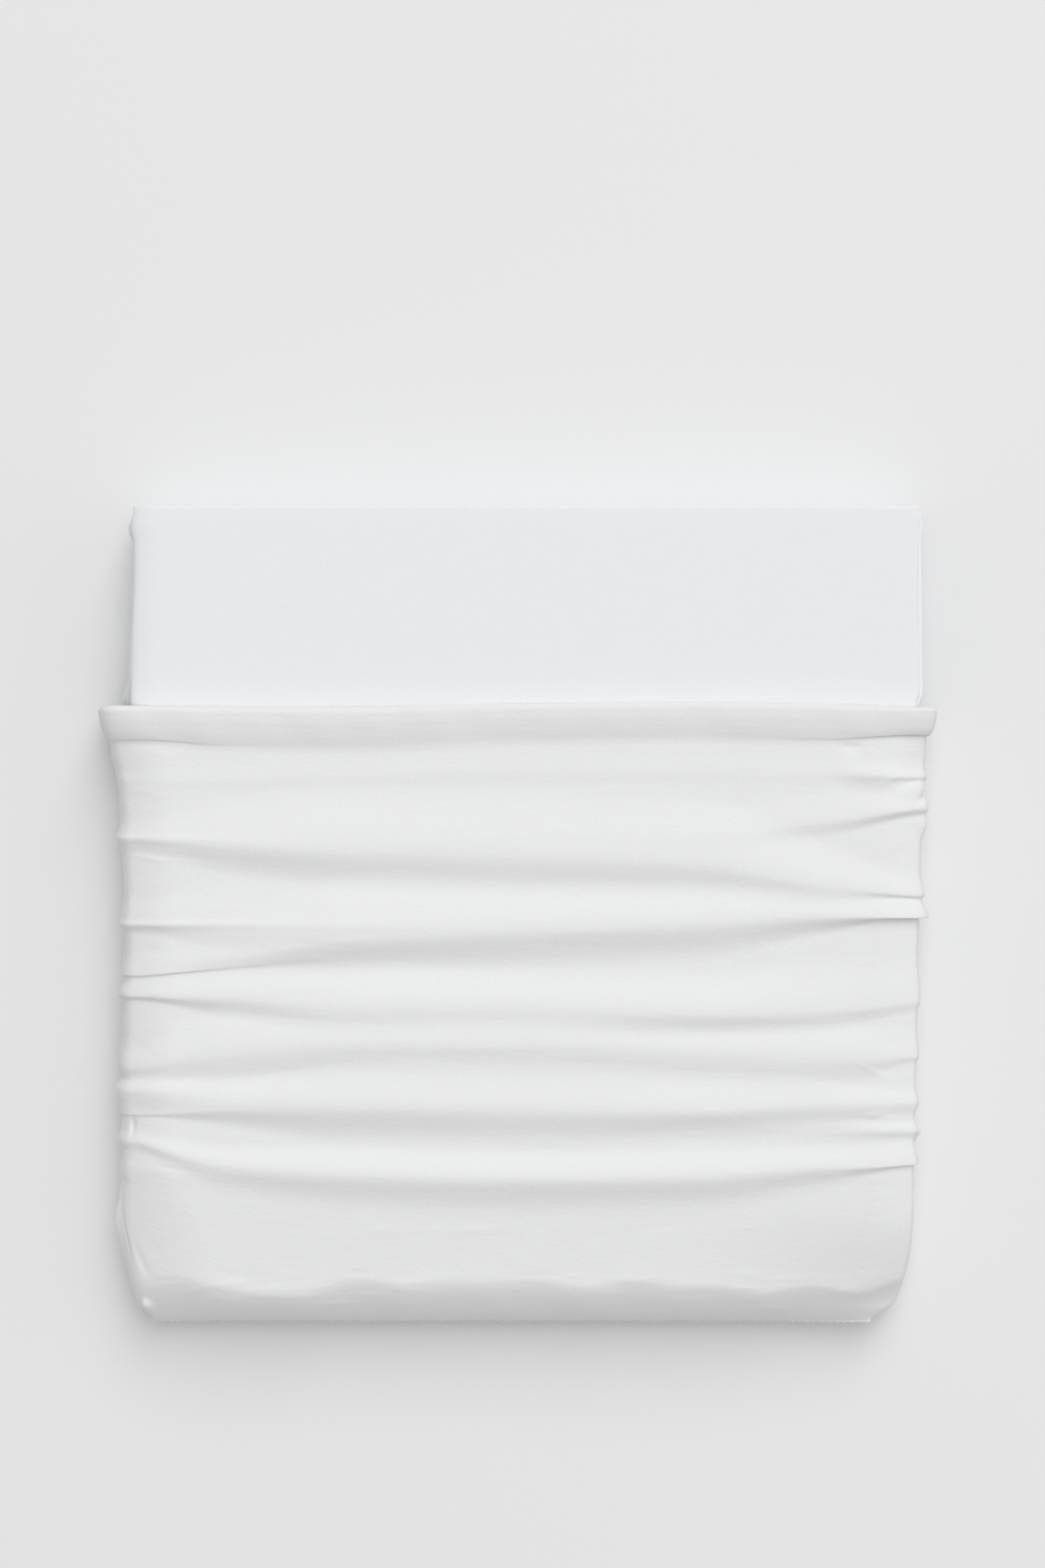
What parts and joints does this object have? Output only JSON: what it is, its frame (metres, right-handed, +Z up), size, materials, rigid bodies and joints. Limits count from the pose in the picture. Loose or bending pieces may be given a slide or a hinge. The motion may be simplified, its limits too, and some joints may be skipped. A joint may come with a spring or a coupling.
{
  "type": "folded duvet cover",
  "caption": "Soft knitted duvet cover folded into a square pack, drawn most of its length into a creased matching pouch with a turned hem.",
  "frame": {"origin": "on the surface that it rests on, in the middle of its outline", "axes": "+Z up from the surface, +Y out of the pouch's open end towards the folded cover, +X to the right as seen from above"},
  "size_m": [0.3627, 0.3548, 0.0537],
  "materials": {
    "cover_knit": "smooth fine cotton knit, cool white, matt, pressed flat",
    "pouch_knit": "soft brushed cotton knit, warm white, matt with a faint fuzz"
  },
  "bodies": {
    "root": {"cover_stack": "cover_knit", "pouch": "pouch_knit"}
  },
  "joints": []
}
